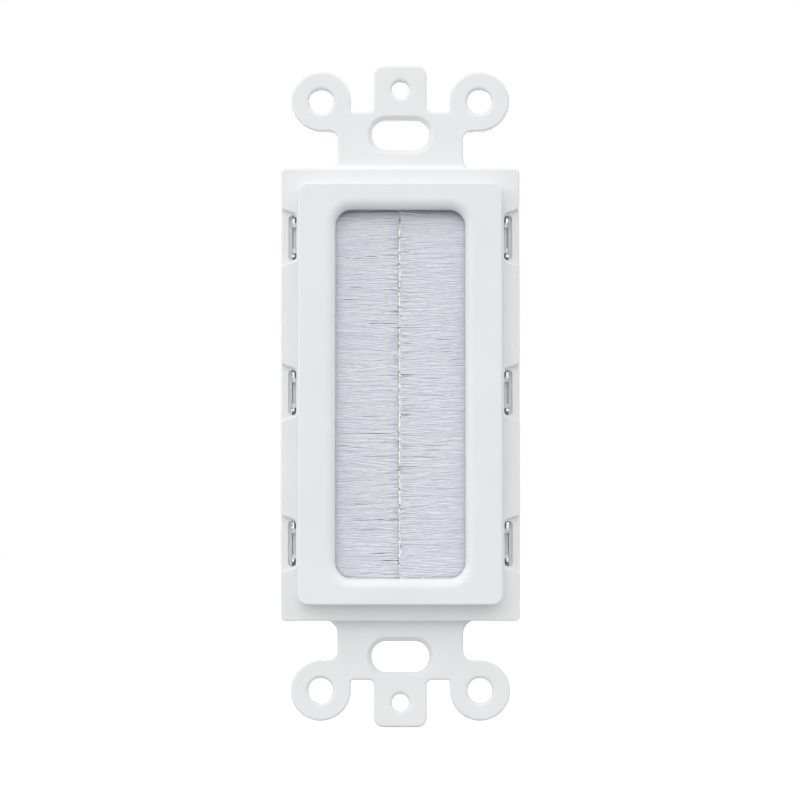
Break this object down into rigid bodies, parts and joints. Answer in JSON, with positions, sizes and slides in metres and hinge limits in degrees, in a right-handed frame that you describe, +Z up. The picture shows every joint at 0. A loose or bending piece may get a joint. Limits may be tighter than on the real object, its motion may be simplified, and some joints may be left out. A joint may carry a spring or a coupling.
{
  "type": "brush wall plate insert",
  "caption": "White device-size wall plate insert whose tall cable opening is closed by two facing rows of fine bristles, on a strap with screw ears and slots.",
  "frame": {"origin": "middle of the plane that lies on the wall, halfway between the two cover-plate screw holes", "axes": "+Z up the insert, the front faces -Y, +X to the right seen from the front"},
  "size_m": [0.0376, 0.0069, 0.1046],
  "materials": {
    "housing": "moulded satin white",
    "retainer": "moulded satin white",
    "brush_strip": "bright zinc",
    "filament": "clear white filament"
  },
  "bodies": {
    "root": {"front_frame": "housing", "rear_retainer": "retainer", "brush_channel_left": "brush_strip", "brush_channel_right": "brush_strip", "core_wire_left": "brush_strip", "core_wire_right": "brush_strip", "bristle_bank_left": "filament", "bristle_bank_right": "filament"}
  },
  "joints": []
}
